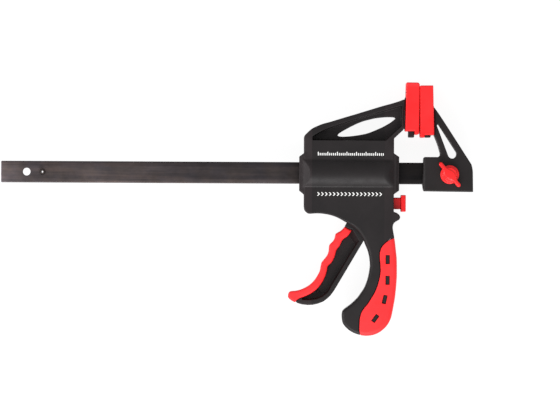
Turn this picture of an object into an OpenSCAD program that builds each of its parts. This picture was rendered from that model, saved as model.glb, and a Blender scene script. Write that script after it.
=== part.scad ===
// Quick release bar clamp, lying on its side.
// +X runs along the bar towards the fixed jaw, +Y is the direction in which
// the jaws reach away from the bar, +Z is up through the thickness.
// The shapes are drawn in a working frame (x = 0 where the pads meet,
// y = 0 on the bar, z = 0 at the parting plane of the housing) and moved
// as a whole at the end, so that the origin is at the bottom centre.

/* [Bar] */
// Height of the steel bar across its wide face
bar_h = 17; // [16.4:0.1:17]
// Thickness of the steel bar
bar_t = 5; // [4.6:0.1:5.2]
// Distance from the pad contact line to the free end of the bar
bar_free = 329; // [322:0.1:340]
// Distance from the pad contact line to the end held in the fixed jaw
bar_held = 38.6; // [36:0.1:39]
// Diameter of the locating hole near each end of the bar
bar_hole_d = 6.1; // [5.9:0.05:6.4]
// Distance of the locating hole from the free end of the bar
bar_hole_in = 20.1; // [18:0.1:21]
// Distance of the stop pin from the free end of the bar
stop_in = 32.5; // [31:0.1:34]
// Outer diameter of the hollow stop pin
stop_d = 4; // [3.5:0.1:4.5]
// Length of the stop pin
stop_len = 12; // [10:0.5:16]

/* [Housing] */
// Half of the thickness of the housing, arm and handle
body_z = 12.5; // [12.3:0.1:12.8]
// Half of the thickness of the round bulge over the drive spring
bulge_z = 17; // [16.4:0.1:17.2]
// Half of the height of the hollow inside the housing
hollow_z = 9.5; // [9.4:0.1:9.8]
// Half of the thickness of the thin web in the arm
web_z = 4; // [3:0.5:5]
// Clearance of the bar in its guides, each side
guide_gap = 0.2; // [0.15:0.05:0.3]

/* [Trigger] */
// Half of the width of the trigger
trigger_z = 8.5; // [8:0.1:8.7]
// Half of the thickness of the web of the trigger
trigger_web_z = 2; // [1.5:0.1:3]
// Diameter of the trigger pivot pin
pivot_d = 5; // [4.5:0.1:5.5]

/* [Mechanism] */
// Thickness of each of the two drive plates
drive_t = 2.4; // [2:0.1:2.4]
// Thickness of the brake plate
brake_t = 3; // [2.6:0.1:3]
// Cant of the brake plate when it grips the bar, degrees
brake_cant = 6; // [5:0.5:6]
// Wire diameter of the drive spring
drive_wire = 1.4; // [1.2:0.1:1.5]
// Wire diameter of the brake spring
brake_wire = 0.9; // [0.7:0.1:1]

/* [Jaws] */
// Half of the width of the soft jaw pads
pad_z = 17; // [16:0.1:17]
// Thickness of a jaw pad at its tip
pad_t = 10.35; // [10.2:0.05:10.4]
// Thickness of a jaw pad at its lower end
pad_b = 10.85; // [10.7:0.05:10.9]
// Toe-in of the moving pad, degrees
toe_moving = 0.5; // [0.4:0.1:0.6]
// Toe-in of the fixed pad, degrees
toe_fixed = 0.6; // [0.5:0.1:0.7]
// Half of the thickness of the fixed jaw
jaw_z = 11; // [10.5:0.1:11.5]

/* [Lock knob] */
// Diameter of the knob's disc
knob_d = 14.6; // [13.5:0.1:15]
// Length of the knob's wing from tip to tip
wing_len = 24.6; // [22:0.1:25]
// Width of the knob's wing
wing_w = 3.1; // [2.8:0.1:3.4]

/* [Hidden] */
$fn = 48;

bar_y = -0.3;                        // centre line of the bar
end_x = 42.3;                        // right edge of the fixed jaw
low_y = -128.07;                     // lowest point of the handle
top_y = 71.09;                       // top corner of the moving pad
move_x = (bar_free - end_x) / 2;     // working frame to part frame
move_y = -(top_y + low_y) / 2;
move_z = bulge_z;
pivot = [-45, -27.7];                // trigger pivot
nose = [-43.3, -14.2];               // centre of the trigger's round nose
nose_r = 2.5;
brake_at = [-31, 14];                // knife edge that the brake plate rocks on
knob_at = [23.7, -1.1];
drive_x = -45.9;                     // right face of the drive plates at rest
screw_at = [[-81.5, 17], [-25.7, 19.2], [-81.5, -24], [-27.5, -38.5],
            [-34.6, -74], [-53, -114.5]];
button_y = -23.9;

black = "#322f31";
red = "#e8323a";
steel = "#5a5352";
zinc = "#9a9da1";

// one span of a smooth curve through p1 and p2
function span(a, b, c, d, t) = 0.5 * (2 * b + (c - a) * t
    + (2 * a - 5 * b + 4 * c - d) * t * t + (3 * b - a - 3 * c + d) * t * t * t);
// smooth open curve through all points of p, n steps a span
function curve(p, n = 2) = concat([for (i = [0:len(p) - 2]) for (k = [0:n - 1])
    span(p[max(i - 1, 0)], p[i], p[i + 1], p[min(i + 2, len(p) - 1)], k / n)],
    [p[len(p) - 1]]);
function rev(p) = [for (i = [len(p) - 1:-1:0]) p[i]];

// ---------------------------------------------------------------- outlines
arm_top = curve([[-12.6, 57.6], [-20, 55.1], [-30, 52.3], [-40, 49.2],
    [-50, 46.1], [-60, 43.1], [-70, 40], [-76, 38.35], [-80.1, 36.7],
    [-83.2, 35.3], [-85.6, 33.7], [-87.9, 31.6], [-90.4, 28.9], [-90.8, 27]], 1);
low_left = curve([[-90.7, -26.5], [-90.2, -29.5], [-88.4, -31.5],
    [-86.4, -32.4], [-82.3, -32.15], [-78.9, -32.1], [-75, -32.4], [-70, -33.3],
    [-65, -34.9], [-61.5, -36.6], [-58.6, -38.3], [-55.6, -39.9],
    [-52.8, -41.8], [-50, -44.1], [-47, -47.4], [-43.7, -52.5],
    [-42, -56.7], [-40.2, -60.9], [-39.1, -65.1], [-38.5, -69.4],
    [-38.35, -73.6], [-39.4, -80.7], [-40.8, -85.7], [-42.6, -90.2],
    [-45, -94.1], [-47.9, -98.1], [-50.8, -101.1], [-53.7, -103.7],
    [-56.7, -105.9], [-58.8, -107.6], [-60, -109.3], [-60.4, -112.2],
    [-60.2, -115.3], [-59.6, -118.2], [-58.1, -120.5], [-55.7, -122.9],
    [-52.8, -124.9], [-49.7, -126.35], [-45.9, -127.55]], 1);
grip_outer = curve([[-45.9, -127.55], [-43.2, -127.95], [-40.2, -128.05],
    [-35.9, -127.4], [-31.5, -125.65], [-27.4, -122.6], [-24.25, -119],
    [-21.9, -114.3], [-20.6, -108.7], [-19.6, -103.2], [-18.7, -97.8],
    [-18.1, -92.3], [-17.6, -86.3], [-17.3, -80.2], [-17.35, -73],
    [-17.5, -67], [-18.1, -61.5], [-18.7, -56.1], [-19.4, -51]], 2);
heel = curve([[-19.4, -51], [-20.05, -47.7], [-20.6, -44.5], [-20.75, -42.4],
    [-20.2, -40.1], [-19, -38.7], [-17.4, -37.65], [-15.6, -36.5],
    [-14.95, -34.6], [-15.8, -32.8], [-17.6, -31.4], [-20, -30.5]], 2);
body_outline = concat(arm_top, low_left, grip_outer, heel,
    [[-20, 27], [-12.6, 34]]);

// line where the black of the handle meets the soft grip
grip_line = curve([[-19.4, -51], [-22.7, -52.5], [-25.1, -54],
    [-27.5, -56.1], [-29.5, -58.8], [-30.5, -61.9], [-30.8, -65.2],
    [-30.5, -69.4], [-30.2, -73], [-30.1, -76.7], [-30.5, -80.9],
    [-31.4, -85.1], [-32.9, -90], [-34.7, -94.2], [-37.2, -98.4],
    [-39.9, -102.7], [-42.6, -106], [-44.4, -108.7], [-45.6, -111.7],
    [-46.3, -115.3], [-46.5, -119.5], [-46.5, -123.8], [-45.9, -127.55]], 1);
grip_outline = concat(grip_line, grip_outer);
// hard core of the handle under the soft grip
core_outline = concat(curve([[-22.6, -55], [-21.3, -61.5], [-20.4, -67],
    [-20.2, -73], [-20.2, -80.2], [-20.4, -86.3], [-20.9, -92.3],
    [-21.6, -97.8], [-22.6, -103.2], [-23.9, -108.6], [-25.5, -113.4],
    [-27.5, -117.3], [-30.3, -120.6], [-33.8, -123.2], [-37.2, -124.6],
    [-40.5, -125.3], [-43.2, -125.3], [-48.5, -124]], 1),
    [[-51, -118], [-48.5, -108], [-40, -97], [-34, -86], [-33, -72],
     [-33.5, -62], [-31, -57], [-26, -53]]);
// small windows in the soft grip: centre, turn, length
windows = [[[-24.6, -68], 0, 7], [[-24.6, -84.2], 0, 7],
           [[-26.8, -99.3], -13, 7], [[-34.1, -114.2], -36, 6.6]];

pocket_outline = concat(curve([[-14, 53], [-20, 51.3], [-40, 45.4],
    [-50, 42.4], [-60, 39], [-70, 35.7], [-76, 33.3], [-80, 31.2],
    [-84, 28.5]], 1), [[-84, 25.5], [-26.3, 25.5], [-14, 37]]);
lens_outline = concat(curve([[-64.3, 29.2], [-63.3, 30.8], [-60, 32.9],
    [-55, 35.7], [-50, 38.2], [-45, 40.3], [-40, 41.7], [-35, 42.9],
    [-30, 43.55], [-25, 43.9], [-20, 43.7], [-18.9, 42.6]], 1),
    curve([[-19.9, 42], [-22.6, 39.8], [-26.6, 37.4], [-29.9, 35.65],
    [-35, 33.4], [-40, 31.4], [-45, 30.15], [-50, 29.3], [-55, 28.7],
    [-60, 28.4], [-63, 28.6]], 1));
chamber_outline = [[-87.5, -28.5], [-87.5, 22], [-22.5, 22], [-22.5, -33],
    [-34.2, -33], [-34.2, -48], [-35.6, -56], [-37.8, -63.5], [-41, -70],
    [-52, -68], [-66, -46], [-63, -33], [-70, -30], [-80, -28.6]];
handle_hollow = concat(curve([[-33.5, -80], [-36.2, -88], [-40, -95],
    [-45, -100.5], [-50.5, -104.6], [-54.5, -108], [-56.4, -112.5],
    [-55.5, -117.5], [-52, -121], [-46, -122.3]], 2),
    curve([[-40.5, -122], [-34.5, -120], [-29.8, -115.5], [-27, -109],
    [-25, -100], [-23.6, -90], [-23.2, -78], [-23.8, -66], [-26, -58]], 1),
    [[-30.5, -58], [-32, -66]]);

// trigger
trigger_back = [[-95.6, -102.6], [-91.9, -103.65], [-87.2, -104.15],
    [-83.2, -103.95], [-79.1, -103], [-74.9, -101.3], [-71.9, -99],
    [-69.3, -96.5], [-66.7, -92.95], [-64.8, -89.8], [-59.2, -80.25],
    [-43.6, -53.65], [-41, -46.5], [-39.8, -38], [-39.5, -29]];
finger_inner = curve([[-53, -45.2], [-54.5, -47.8], [-56.5, -50.1],
    [-59.7, -52.4], [-60.9, -54.4], [-62.3, -57.4], [-64.8, -60.7],
    [-65.5, -63.5], [-66.6, -66.7], [-68.6, -70.5], [-71.5, -73.3],
    [-72.1, -76.1], [-73.3, -80.6], [-75.1, -84.6], [-77.6, -88.6],
    [-80.6, -91.9], [-84.7, -94.9], [-89.2, -97.2], [-93.7, -98.9],
    [-96.8, -101.3]], 1);
finger_outer = curve([[-58.4, -42.4], [-60, -44.4], [-62.1, -46.1],
    [-65.1, -47.8], [-65.8, -49.4], [-66.3, -51.7], [-67.6, -54],
    [-69.9, -56.3], [-70.6, -58], [-70.9, -61.5], [-71.9, -64.8],
    [-74.1, -67.8], [-76.4, -70.8], [-77.1, -73.6], [-77.9, -77.6],
    [-79.7, -81.1], [-81.75, -84.35], [-84.55, -87.35], [-88.1, -89.9],
    [-92.1, -91.8], [-96.2, -93], [-100, -93.3], [-101.7, -94],
    [-102.6, -95.7], [-102.7, -97.9], [-101.4, -99.6], [-99.1, -101.2],
    [-96.9, -102.1]], 1);
trigger_outline = concat([[-50.4, -28.5], [-54, -35.5], [-57.3, -40.2],
    [-58.4, -42.4]], finger_inner, trigger_back);
finger_outline = concat(finger_outer, rev(finger_inner));
// the web reaches into the soft strip along this line
trigger_tongue = [[-54, -47], [-57.5, -47.2], [-60.5, -49.6],
    [-63.2, -52.5], [-65.4, -57], [-67.5, -60.5], [-68.8, -64.5],
    [-70.8, -68.5], [-73.8, -72], [-74.8, -76], [-76.5, -80.8],
    [-78.7, -84.8], [-81.7, -88.6], [-85.7, -91.5], [-90.7, -94],
    [-95.5, -95.8], [-98, -98], [-96, -100.2], [-90, -99], [-80, -95],
    [-68, -78], [-58, -58]];
trigger_pocket = concat([[-50.5, -53], [-54, -50.9]],
    [for (i = [2:len(finger_inner) - 3]) finger_inner[i]],
    [[-91.2, -98.2], [-91.8, -100], [-85.2, -100.2], [-79.7, -99.2], [-75.2, -97.2],
     [-71.1, -93.6], [-68.1, -88.1], [-64.1, -81.5], [-59, -73],
     [-54, -64.4], [-49.2, -55.8]]);

// fixed jaw
jaw_outline = concat([[3.9, -14.3], [end_x, -14.7], [42.1, -3.1],
    [42, 1.6], [41.5, 4.8], [40.9, 7], [39.3, 9.5], [35, 16.1], [30, 23.9],
    [25, 31.6], [20, 39.3], [15, 46.8], [11.3, 51.9], [11.75, 29]],
    curve([[11.75, 29], [14.2, 22.9], [15.9, 17.4], [16.4, 15.4],
    [16.2, 13.8], [14.8, 12.65]], 2), [[3.9, 12.65], [3.3, 11.5],
    [3.1, 8], [2.4, -8.5], [3.1, -13]]);
slot_a = [14.5, 37.4];   // narrow end of the teardrop opening
slot_b = [25.8, 15.1];   // wide end
slot_ra = 0.9;
slot_rb = 3.55;
slot_len = norm(slot_b - slot_a);
slot_turn = atan2(slot_b[1] - slot_a[1], slot_b[0] - slot_a[0]);
slot_tilt = asin((slot_rb - slot_ra) / slot_len);
function arc(c, r, a0, a1, n) = [for (i = [0:n])
    c + r * [cos(a0 + (a1 - a0) * i / n), sin(a0 + (a1 - a0) * i / n)]];
slot_outline = concat(
    arc(slot_b, slot_rb, slot_turn - 90 - slot_tilt, slot_turn + 90 + slot_tilt, 20),
    arc(slot_a, slot_ra, slot_turn + 90 + slot_tilt, slot_turn + 270 - slot_tilt, 8));

// ---------------------------------------------------------------- helpers
module to_part() translate([move_x, move_y, move_z]) children();
module layer(z0, z1) translate([0, 0, z0]) linear_extrude(z1 - z0) children();
module both(z) translate([0, 0, -z]) linear_extrude(2 * z) children();
module block(x0, x1, y0, y1, z0, z1)
    translate([x0, y0, z0]) cube([x1 - x0, y1 - y0, z1 - z0]);
module rod(x0, x1, y, z, r)
    translate([x0, y, z]) rotate([0, 90, 0]) cylinder(h = x1 - x0, r = r);
// frame of a jaw head: u away from the work, v up, hung from the pad's top
module head_moving() translate([-0.15, 71]) rotate(-toe_moving) mirror([1, 0]) children();
module head_fixed() translate([0.05, 68.7]) rotate(toe_fixed) children();

// round wire wound about the X axis, from x0 to x1
function coil_at(a, r, x0, x1, n) = [x0 + (x1 - x0) * a / n,
    r * cos(360 * a), r * sin(360 * a)];
module coil(x0, x1, r, wire, turns, steps) {
    count = turns * steps;
    sides = 6;
    flat_a = 0.75;               // closed turns at each end
    pitch = (x1 - x0 - wire) / (turns - 2 * flat_a + 2 * flat_a * 0.35);
    function climb(t) = t < flat_a ? 0.35 * t
        : t < turns - flat_a ? 0.35 * flat_a + (t - flat_a)
        : 0.35 * flat_a + (turns - 2 * flat_a) + 0.35 * (t - turns + flat_a);
    pts = [for (i = [0:count]) for (j = [0:sides - 1])
        let (t = i / steps, a = 360 * t, b = 360 * j / sides,
             rr = r + wire / 2 * cos(b))
        [x0 + wire / 2 + pitch * climb(t) + wire / 2 * sin(b),
         rr * cos(a), rr * sin(a)]];
    polyhedron(points = pts, faces = concat(
        [[for (j = [0:sides - 1]) j]],
        [[for (j = [sides - 1:-1:0]) count * sides + j]],
        [for (i = [0:count - 1]) for (j = [0:sides - 1])
            [i * sides + j, (i + 1) * sides + j,
             (i + 1) * sides + (j + 1) % sides, i * sides + (j + 1) % sides]]));
}

// ---------------------------------------------------------------- bar
module bar() color(steel) to_part() difference() {
    translate([0, bar_y, 0]) both(bar_t / 2) polygon([
        [-bar_free, -bar_h / 2 + 0.5], [-bar_free, bar_h / 2 - 0.5],
        [-bar_free + 0.5, bar_h / 2], [bar_held, bar_h / 2],
        [bar_held, -bar_h / 2], [-bar_free + 0.5, -bar_h / 2]]);
    translate([-bar_free + bar_hole_in, bar_y, -5]) cylinder(h = 10, d = bar_hole_d);
    translate([knob_at[0], knob_at[1], -5]) cylinder(h = 10, d = bar_hole_d);
    translate([-bar_free + stop_in, bar_y, -5]) cylinder(h = 10, d = stop_d);
}
module stop_pin() color(zinc) to_part() difference() {
    translate([-bar_free + stop_in, bar_y, -stop_len / 2])
        cylinder(h = stop_len, d = stop_d);
    translate([-bar_free + stop_in, bar_y, -stop_len / 2 - 1])
        cylinder(h = stop_len + 2, d = stop_d * 0.4);
}

// ---------------------------------------------------------------- housing
// back face of a pad, u at the height v
function pad_back(v) = pad_t - (pad_b - pad_t) * v / 38;
// half of the T-shaped head that a pad slides over, z from 0 up
module tongue_half(z, plate, low) {
    layer(0, z) polygon(plate);
    layer(0, 4.5) polygon([[8, -37.8], [pad_b + 0.4, -37.8],
        [pad_b + 0.4, -16], [pad_t + 0.4, -10], [8, -10]]);
    layer(0, 8.5) polygon([[3.7, low], [8.3, low], [8.3, -9], [3.7, -9]]);
}
plate_moving = [[pad_back(-36.5) + 0.12, -36.5], [12.9, -36.5],
    [12.9, -13.6], [pad_back(-13) + 0.62, -13], [pad_back(-6.6) + 0.62, -6.6],
    [pad_back(-6.6) + 0.1, -6.6]];
plate_fixed = [[pad_back(-39.4) + 0.12, -39.4], [12.4, -39.4], [12.4, -20],
    [pad_back(-17.5) + 0.3, -17.5], [pad_back(-17.5) + 0.12, -17.5]];
// one half of the housing, from the parting plane up
module shell_half() {
    difference() {
        union() {
            difference() {
                layer(0, body_z) polygon(body_outline);
                layer(-1, body_z + 1) polygon(grip_outline);
            }
            layer(0, 10.5) polygon(core_outline);
            for (w = windows) translate([w[0][0], w[0][1], 9]) rotate(w[1])
                translate([-1.6, -w[2] / 2, 0]) cube([3.2, w[2], body_z - 9.2]);
            // collars where the bar enters and leaves
            layer(0, 12) polygon([[-90, 15.7], [-90.4, 15.5], [-94.4, 12.6],
                [-94.4, -14.2], [-90.4, -17.5], [-90, -17.5]]);
            layer(0, 12) polygon([[-20.4, 15.5], [-20, 15.4], [-15.9, 12.6],
                [-15.9, -13.9], [-20, -16.8], [-20.4, -16.8]]);
            // round bulge with sloping ends
            intersection() {
                rod(-91.3, -19.9, -0.5, bulge_z - 14.5, 14.5);
                translate([0, 20, 0]) rotate([90, 0, 0]) linear_extrude(40)
                    polygon([[-91.3, 6], [-91.3, body_z], [-85.6, bulge_z + 0.1],
                             [-26, bulge_z + 0.1], [-20.2, body_z], [-20.2, 6]]);
            }
            head_moving() tongue_half(body_z - 0.5, plate_moving, -43.1);
            // closes the arm against its head
            layer(0, body_z) polygon([[-13.4, 57.4], [-10.9, 58.3],
                [-11.4, 35.3], [-13.4, 33.2]]);
        }
        // arm pocket and its lens-shaped opening
        layer(web_z, body_z + 1) polygon(pocket_outline);
        layer(-1, body_z + 1) polygon(lens_outline);
        // hollow for the mechanism, with round room for the spring
        difference() {
            union() {
                layer(-1, hollow_z) polygon(chamber_outline);
                rod(-87.5, -36, bar_y, 0, 12.5);
            }
            for (i = [0:2]) translate([screw_at[i][0], screw_at[i][1], -2])
                cylinder(h = 20, r = 3.5);
            // rib behind the brake spring, and the two lips of the knife edge
            block(-38.8, -37.2, -26, -14, -2, 20);
            block(-36.4, -33.1, 12.8, 23, -2, 20);
            block(-29, -26.4, 12.8, 23, -2, 20);
        }
        difference() {
            layer(-1, 8) polygon(handle_hollow);
            for (i = [4, 5]) translate([screw_at[i][0], screw_at[i][1], -2])
                cylinder(h = 20, r = 3.4);
        }
        // bar guides
        block(-96, -86, bar_y - bar_h / 2 - guide_gap, bar_y + bar_h / 2 + guide_gap,
              -1, bar_t / 2 + guide_gap);
        block(-24, -14, bar_y - bar_h / 2 - guide_gap, bar_y + bar_h / 2 + guide_gap,
              -1, bar_t / 2 + guide_gap);
        // window for the release button
        block(-24, -18, button_y - 4.85, button_y + 4.85, -1, 5.8);
        // seats of the trigger pin
        translate([pivot[0], pivot[1], -1]) cylinder(h = 12.3, d = pivot_d + 0.04);
    }
}
module front_shell() color(black) to_part() difference() {
    shell_half();
    for (s = screw_at) translate([s[0], s[1], -1]) cylinder(h = 8.5, d = 3.04);
}
module back_shell() color(black) to_part() difference() {
    mirror([0, 0, 1]) shell_half();
    for (s = screw_at) {
        translate([s[0], s[1], -14]) cylinder(h = 15, d = 3.4);
        translate([s[0], s[1], -body_z - 1]) cylinder(h = 4.2, d = 6.2);
    }
}
module shell_screws() color(zinc) to_part() for (s = screw_at)
    translate([s[0], s[1], 0]) difference() {
        union() {
            translate([0, 0, -9.4]) cylinder(h = 16.4, d = 3);
            translate([0, 0, -11.6]) cylinder(h = 2.3, d = 5.6);
        }
        for (a = [0, 90]) rotate(a) translate([-1.7, -0.35, -12])
            cube([3.4, 0.7, 1.6]);
    }
module grip_half() difference() {
    layer(0, 13.2) polygon(grip_outline);
    layer(-1, 10.5) polygon(core_outline);
    for (w = windows) translate([w[0][0], w[0][1], 9]) rotate(w[1])
        translate([-1.6, -w[2] / 2, 0]) cube([3.2, w[2], 8]);
}
module grip_front() color(red) to_part() grip_half();
module grip_back() color(red) to_part() mirror([0, 0, 1]) grip_half();

// ---------------------------------------------------------------- trigger
module trigger() color(black) to_part() difference() {
    union() {
        difference() {
            both(trigger_z) polygon(trigger_outline);
            for (s = [0, 1]) mirror([0, 0, s])
                layer(trigger_web_z, trigger_z + 1) polygon(trigger_pocket);
        }
        both(trigger_web_z) polygon(trigger_tongue);
        translate([pivot[0], pivot[1], -trigger_z])
            cylinder(h = 2 * trigger_z, r = 5.5);
        both(6) polygon([[-45.8, -14.2], [-40.8, -14.2], [-39.9, -26],
            [-49, -26], [-45.8, -20.4]]);
        translate([nose[0], nose[1], -6]) cylinder(h = 12, r = nose_r);
    }
    translate([pivot[0], pivot[1], -20]) cylinder(h = 40, d = pivot_d + 0.12);
}
module trigger_grip() color(red) to_part() difference() {
    both(9) polygon(finger_outline);
    both(trigger_web_z) polygon(trigger_tongue);
}
module trigger_pin() color(zinc) to_part()
    translate([pivot[0], pivot[1], -11.2]) cylinder(h = 22.4, d = pivot_d);

// ---------------------------------------------------------------- mechanism
module drive_plates() color(steel) to_part() for (i = [0, 1]) difference() {
    block(drive_x - drive_t - 2.5 * i, drive_x - 2.5 * i, -19, 13.5, -9, 9);
    block(drive_x - 10, drive_x + 5, bar_y - bar_h / 2 - 0.3,
          bar_y + bar_h / 2 + 0.3, -bar_t / 2 - 0.3, bar_t / 2 + 0.3);
}
module drive_spring() color(zinc) to_part() translate([0, bar_y, 0])
    coil(-87.4, drive_x - drive_t - 2.6, 10, drive_wire, 7, 14);
module brake_plate() color(steel) to_part()
    translate([brake_at[0], brake_at[1], 0]) rotate(brake_cant) difference() {
        union() {
            block(-brake_t / 2, brake_t / 2, -39, 2.6, -8, 8);
            block(-brake_t / 2, brake_t / 2, -33, -6, -9, 9);
        }
        block(-5, 5, -14.38 - bar_h / 2 - 0.4, -14.38 + bar_h / 2 + 0.4,
              -bar_t / 2 - 0.3, bar_t / 2 + 0.3);
    }
module brake_spring() color(zinc) to_part() translate([0, -20.4, 0])
    coil(-37.1, -29.4, 2.9, brake_wire, 4, 12);
module release_button() color(red) to_part() {
    block(-25.2, -22.7, button_y - 6.2, button_y + 6.2, -7.5, 7.5);
    block(-22.7, -14.4, button_y - 4.6, button_y + 4.6, -5.5, 5.5);
    block(-14.5, -10.5, button_y - 6.6, button_y + 6.6, -8, 8);
}

// ---------------------------------------------------------------- pads
module pad(low, step, tip_r) difference() {
    both(pad_z) polygon(concat(arc([tip_r, -tip_r], tip_r, 180, 90, 4),
        [[pad_t - 0.5, 0], [pad_t, -0.5], [pad_back(step), step + 0.5],
        [pad_back(step) - 0.5, step], [3.5, step], [3.5, low],
        [0.6, low], [0, low + 0.6]]));
    both(8.7) polygon([[3.5, -60], [8.5, -60], [8.5, -8.8], [3.5, -8.8]]);
    both(4.7) polygon([[8, -60], [20, -60], [20, -9.8], [8, -9.8]]);
}
module pad_moving() color(red) to_part() head_moving() pad(-40.7, -38.2, 1.9);
module pad_fixed() color(red) to_part() head_fixed() pad(-40.7, -38.9, 0.7);

// ---------------------------------------------------------------- fixed jaw
module fixed_jaw() color(black) to_part() difference() {
    union() {
        both(jaw_z) polygon(jaw_outline);
        for (s = [0, 1]) mirror([0, 0, s])
            head_fixed() tongue_half(jaw_z - 0.5, plate_fixed, -40.8);
    }
    // teardrop opening
    both(20) polygon(slot_outline);
    // socket of the bar, and the bore of the lock pin
    block(-1, bar_held + 0.1, bar_y - bar_h / 2 - 0.1, bar_y + bar_h / 2 + 0.1,
          -bar_t / 2 - 0.1, bar_t / 2 + 0.1);
    translate([knob_at[0], knob_at[1], 0]) cylinder(h = 20, d = bar_hole_d);
    translate([knob_at[0], knob_at[1], 7.4]) cylinder(h = 20, d = 9.4);
    translate([knob_at[0], knob_at[1], -4.5]) cylinder(h = 4, d = bar_hole_d);
}

// ---------------------------------------------------------------- lock knob
module lock_knob() color(red) to_part() translate([knob_at[0], knob_at[1], 0])
    difference() {
        union() {
            translate([0, 0, jaw_z + 0.2]) cylinder(h = 3, d = knob_d);
            translate([0, 0, jaw_z + 0.2]) cylinder(h = 6.4, r = 5.6);
            rotate(-49.5) {
                layer(jaw_z + 0.9, jaw_z + 7.4) square([wing_len - wing_w, wing_w], center = true);
                for (s = [-1, 1]) translate([s * (wing_len - wing_w) / 2, 0, jaw_z + 0.9])
                    cylinder(h = 6.5, d = wing_w);
            }
        }
        translate([0, 0, jaw_z - 1]) cylinder(h = 6.4, d = 9.4);
    }
module lock_pin() color(zinc) to_part() translate([knob_at[0], knob_at[1], 0]) {
    translate([0, 0, -1.5]) cylinder(h = 9.6, d = bar_hole_d - 0.2);
    translate([0, 0, 8]) cylinder(h = 1.5, d = 9);
    translate([0, 0, 9.4]) cylinder(h = 1.6, d = 4);
}
module lock_spring() color(zinc) to_part() translate([knob_at[0], knob_at[1], 0])
    rotate([0, -90, 0]) coil(9.6, 16.3, 3.5, 0.6, 4, 12);

bar();
stop_pin();
front_shell();
back_shell();
shell_screws();
grip_front();
grip_back();
trigger();
trigger_grip();
trigger_pin();
drive_plates();
drive_spring();
brake_plate();
brake_spring();
release_button();
pad_moving();
pad_fixed();
fixed_jaw();
lock_knob();
lock_pin();
lock_spring();
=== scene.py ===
import math

import bpy
import numpy as np
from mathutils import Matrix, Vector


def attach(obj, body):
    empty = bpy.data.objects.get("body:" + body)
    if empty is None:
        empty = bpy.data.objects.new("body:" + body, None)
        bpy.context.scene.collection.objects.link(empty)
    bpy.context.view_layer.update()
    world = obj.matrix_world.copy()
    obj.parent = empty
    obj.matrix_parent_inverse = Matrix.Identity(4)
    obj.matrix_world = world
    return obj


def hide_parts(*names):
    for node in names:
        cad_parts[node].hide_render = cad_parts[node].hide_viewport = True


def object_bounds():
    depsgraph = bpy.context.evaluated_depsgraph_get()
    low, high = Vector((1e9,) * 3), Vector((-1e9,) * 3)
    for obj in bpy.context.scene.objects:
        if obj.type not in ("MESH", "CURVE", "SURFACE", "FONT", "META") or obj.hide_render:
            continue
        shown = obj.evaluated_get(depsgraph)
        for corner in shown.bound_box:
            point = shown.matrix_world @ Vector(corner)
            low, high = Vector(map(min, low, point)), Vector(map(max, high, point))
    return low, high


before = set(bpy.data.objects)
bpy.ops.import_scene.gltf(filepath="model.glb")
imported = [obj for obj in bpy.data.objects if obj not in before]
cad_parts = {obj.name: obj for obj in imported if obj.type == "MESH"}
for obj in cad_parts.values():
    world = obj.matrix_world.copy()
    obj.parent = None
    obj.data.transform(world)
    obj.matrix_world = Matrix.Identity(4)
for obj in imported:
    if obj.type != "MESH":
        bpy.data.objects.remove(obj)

# The working frame of the shapes below is in millimetres: x = 0 where the pads meet,
# y = 0 on the bar, z = 0 at the parting plane. SHIFT brings it to the row frame.
SHIFT = np.array([143.35, 28.49, 17.0])
CAD_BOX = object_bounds()


def row(p):
    return (np.asarray(p, float) + SHIFT) * 0.001


# ------------------------------------------------------------------ outlines
def curve(p, n=3):
    """Smooth open curve through the points p, n steps a span."""
    p = [np.array(q, float) for q in p]
    out = []
    for i in range(len(p) - 1):
        a, b, c, d = p[max(i - 1, 0)], p[i], p[i + 1], p[min(i + 2, len(p) - 1)]
        for k in range(n):
            t = k / n
            out.append(0.5 * (2 * b + (c - a) * t + (2 * a - 5 * b + 4 * c - d) * t * t
                              + (3 * b - a - 3 * c + d) * t ** 3))
    out.append(p[-1])
    return [tuple(q) for q in out]


ARM_TOP = [(-12.6, 57.6), (-20, 55.1), (-30, 52.3), (-40, 49.2), (-50, 46.1), (-60, 43.1),
           (-70, 40), (-76, 38.35), (-80.1, 36.7), (-83.2, 35.3), (-85.6, 33.7), (-87.9, 31.6),
           (-90.4, 28.9), (-90.8, 27)]
LOW_LEFT = [(-90.7, -26.5), (-90.2, -29.5), (-88.4, -31.5), (-86.4, -32.4), (-82.3, -32.15),
            (-78.9, -32.1), (-75, -32.4), (-70, -33.3), (-65, -34.9), (-61.5, -36.6),
            (-58.6, -38.3), (-55.6, -39.9), (-52.8, -41.8), (-50, -44.1), (-47, -47.4),
            (-43.7, -52.5), (-42, -56.7), (-40.2, -60.9), (-39.1, -65.1), (-38.5, -69.4),
            (-38.35, -73.6), (-39.4, -80.7), (-40.8, -85.7), (-42.6, -90.2), (-45, -94.1),
            (-47.9, -98.1), (-50.8, -101.1), (-53.7, -103.7), (-56.7, -105.9), (-58.8, -107.6),
            (-60, -109.3), (-60.4, -112.2), (-60.2, -115.3), (-59.6, -118.2),
            (-58.1, -120.5), (-55.7, -122.9), (-52.8, -124.9), (-49.7, -126.35),
            (-45.9, -127.55)]
GRIP_OUTER = [(-45.9, -127.55), (-43.2, -127.95), (-40.2, -128.05), (-35.9, -127.4), (-31.5, -125.65),
              (-27.4, -122.6), (-24.25, -119), (-21.9, -114.3), (-20.6, -108.7),
              (-19.6, -103.2), (-18.7, -97.8), (-18.1, -92.3), (-17.6, -86.3),
              (-17.3, -80.2), (-17.35, -73), (-17.5, -67), (-18.1, -61.5), (-18.7, -56.1),
              (-19.4, -51)]
HEEL = [(-19.4, -51), (-20.05, -47.7), (-20.6, -44.5), (-20.75, -42.4), (-20.2, -40.1),
        (-19, -38.7), (-17.4, -37.65), (-15.6, -36.5), (-14.95, -34.6), (-15.8, -32.8),
        (-17.6, -31.4), (-20, -30.5)]
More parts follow.
